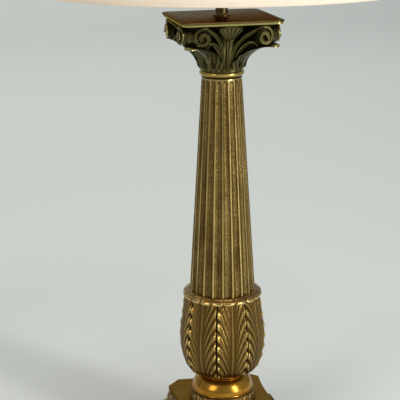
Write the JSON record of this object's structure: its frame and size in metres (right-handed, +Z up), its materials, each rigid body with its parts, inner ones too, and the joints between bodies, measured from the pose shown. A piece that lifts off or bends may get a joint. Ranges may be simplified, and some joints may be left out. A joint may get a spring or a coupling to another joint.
{
  "type": "column table lamp",
  "caption": "Table lamp on a square plinth: a leaf vase, a tapering fluted column and a scrolled capital carry a wire harp and a wide cone shade.",
  "frame": {"origin": "centre of the felt under the plinth, on the surface that the lamp stands on", "axes": "+Z up along the column, -Y towards the front, where the switch knob points; +X to the right"},
  "size_m": [0.4335, 0.4336, 0.8394],
  "materials": {
    "felt": "matt wool felt",
    "aged_brass": "antique brass, dark in the hollows",
    "dark_brass": "dark antique brass",
    "dull_brass": "satin brown brass",
    "stippled_brass": "fine stippled antique brass",
    "bright_brass": "polished brass",
    "cast_iron": "rough casting",
    "steel": "zinc plated",
    "plated_steel": "brass plated wire",
    "black_plastic": "moulded",
    "brown_plastic": "moulded, glossy",
    "card": "pressed card",
    "aluminium": "drawn and rolled",
    "frosted_glass": "frosted inside",
    "cream_fabric": "woven fabric on a stiff lining",
    "white_wire": "white painted wire"
  },
  "bodies": {
    "lamp": {"felt_pad": "felt", "base_block": "aged_brass", "cord_bushing": "black_plastic", "base_weight": "cast_iron", "lock_washer": "steel", "rod_nut": "steel", "threaded_rod": "steel", "base_moulding": "aged_brass", "plinth_plate": "dull_brass", "pedestal_foot": "aged_brass", "pedestal_dome": "bright_brass", "vase_ring": "bright_brass", "leaf_vase": "aged_brass", "leaf_collar": "aged_brass", "fluted_shaft": "stippled_brass", "necking_ring": "bright_brass", "capital": "dark_brass", "abacus": "dull_brass", "neck_riser": "bright_brass", "harp_saddle": "plated_steel", "harp": "plated_steel", "socket_cap": "bright_brass", "socket_shell": "bright_brass", "socket_liner": "card", "switch_body": "black_plastic", "screw_shell": "aluminium", "centre_contact": "bright_brass"},
    "harp_sleeve_left": {"harp_sleeve_left": "plated_steel"},
    "harp_sleeve_right": {"harp_sleeve_right": "plated_steel"},
    "switch": {"switch_knob": "brown_plastic"},
    "bulb_cap": {"bulb_base": "aluminium"},
    "bulb": {"bulb_glass": "frosted_glass"},
    "shade": {"shade_cover": "cream_fabric", "shade_foot_hem": "cream_fabric", "shade_top_hem": "cream_fabric", "shade_foot_hoop": "white_wire", "shade_spider": "white_wire"},
    "finial_bush": {"finial_bush": "bright_brass"},
    "finial": {"finial": "bright_brass"}
  },
  "joints": [
    {"name": "switch_turn", "type": "hinge", "parent": "lamp", "child": "switch", "pos_m": [0, -0.02, 0.5509], "axis": [0, -1, 0], "continuous": true},
    {"name": "harp_sleeve_left_lift", "type": "slide", "parent": "lamp", "child": "harp_sleeve_left", "axis": [0, 0, 1], "range_m": [0, 0.014]},
    {"name": "harp_sleeve_right_lift", "type": "slide", "parent": "lamp", "child": "harp_sleeve_right", "axis": [0, 0, 1], "range_m": [0, 0.014]},
    {"name": "bulb_lift", "type": "slide", "parent": "lamp", "child": "bulb_cap", "axis": [0, 0, 1], "range_m": [0, 0.01089]},
    {"name": "bulb_turn", "type": "hinge", "parent": "bulb_cap", "child": "bulb", "pos_m": [0, 0, 0.5659], "axis": [0, 0, -1], "range_deg": [-1080, 0]},
    {"name": "shade_turn", "type": "hinge", "parent": "lamp", "child": "shade", "pos_m": [0, 0, 0.8033], "axis": [0, 0, 1], "continuous": true},
    {"name": "finial_lift", "type": "slide", "parent": "lamp", "child": "finial_bush", "axis": [0, 0, 1], "range_m": [0, 0.00846]},
    {"name": "finial_turn", "type": "hinge", "parent": "finial_bush", "child": "finial", "pos_m": [0, 0, 0.8093], "axis": [0, 0, -1], "range_deg": [-3242, 0]}
  ],
  "couplings": [
    {"joint": "bulb_lift", "follows": "bulb_turn", "m_per_rad": -0.00057773},
    {"joint": "finial_turn", "follows": "finial_lift", "rad_per_m": -6684.2}
  ]
}
